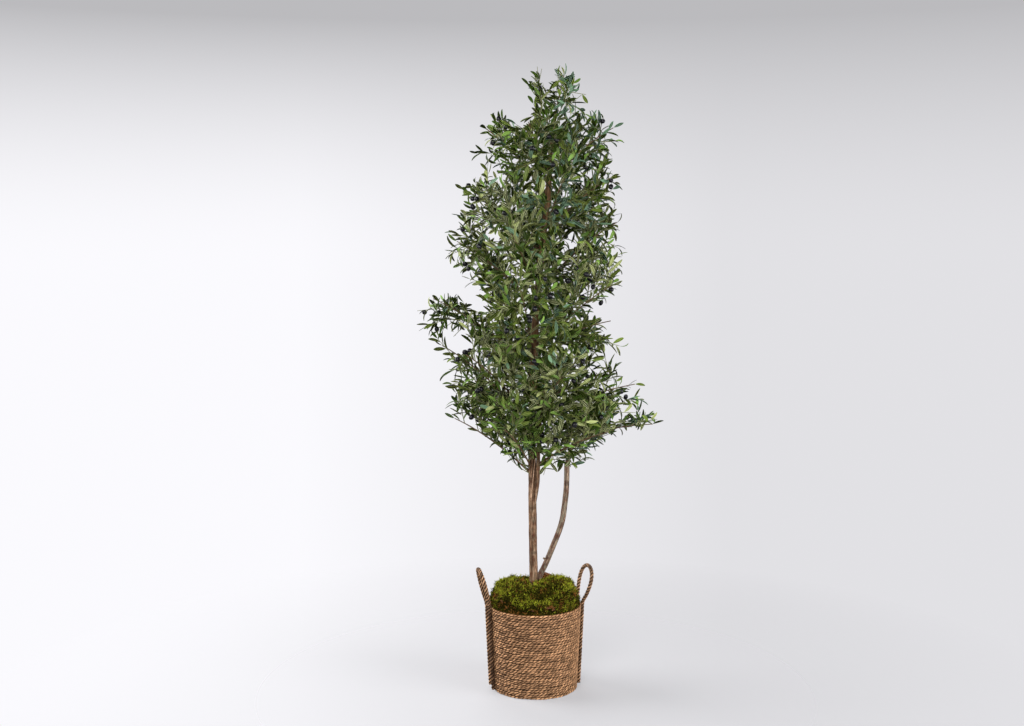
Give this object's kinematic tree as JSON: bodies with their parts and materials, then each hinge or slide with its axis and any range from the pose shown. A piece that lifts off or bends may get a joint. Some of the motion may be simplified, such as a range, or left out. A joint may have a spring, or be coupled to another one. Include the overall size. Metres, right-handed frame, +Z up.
{
  "type": "artificial olive tree in a woven basket",
  "caption": "Slender artificial olive tree with three natural-looking stems, airy grey-green foliage and black olives, in a round woven rope basket topped with moss.",
  "frame": {"origin": "centre of the basket's flat underside, on the floor", "axes": "+Z up along the basket's axis, +X to the tree's right and -Y to its front, as seen in a front view"},
  "size_m": [0.912, 0.647, 2.316],
  "materials": {
    "basket_rope": "twisted seagrass rope courses, matt tan-brown",
    "handle_rope": "twisted seagrass rope, matt brown",
    "core": "rough dark weighted core, hidden under the moss",
    "moss": "dry green cushion moss with brown bits",
    "bark": "grey-brown bark with fine upright streaks",
    "foliage": "narrow olive leaves, dark green above and pale grey-green below, on green-brown twigs"
  },
  "bodies": {
    "root": {"basket": "basket_rope", "high_spray_1": "foliage", "high_spray_2": "foliage", "high_spray_3": "foliage", "high_spray_4": "foliage", "leader_left": "foliage", "leader_right": "foliage", "left_handle": "handle_rope", "low_bough_1": "bark", "low_bough_2": "bark", "low_bough_3": "bark", "low_bough_5": "bark", "low_bough_6": "bark", "low_spray_1": "foliage", "low_spray_2": "foliage", "low_spray_3": "foliage", "low_spray_5": "foliage", "low_spray_6": "foliage", "lower_bough_1": "bark", "lower_bough_2": "bark", "lower_bough_3": "bark", "lower_bough_4": "bark", "lower_bough_5": "bark", "lower_bough_6": "bark", "lower_spray_1": "foliage", "lower_spray_2": "foliage", "lower_spray_3": "foliage", "lower_spray_4": "foliage", "lower_spray_5": "foliage", "lower_spray_6": "foliage", "middle_spray_1": "foliage", "middle_spray_2": "foliage", "middle_spray_3": "foliage", "middle_spray_4": "foliage", "middle_spray_5": "foliage", "moss_back_left": "moss", "moss_back_right": "moss", "moss_front": "moss", "moss_left": "moss", "moss_right": "moss", "planter_core": "core", "right_handle": "handle_rope", "second_stem": "bark", "second_stem_spray": "foliage", "third_stem_lower": "bark", "third_stem_spray": "foliage", "third_stem_upper": "bark", "top_spray_1": "foliage", "top_spray_2": "foliage", "top_spray_3": "foliage", "top_spray_4": "foliage", "trunk": "bark", "upper_spray_1": "foliage", "upper_spray_2": "foliage", "upper_spray_3": "foliage", "upper_spray_4": "foliage"}
  },
  "joints": []
}
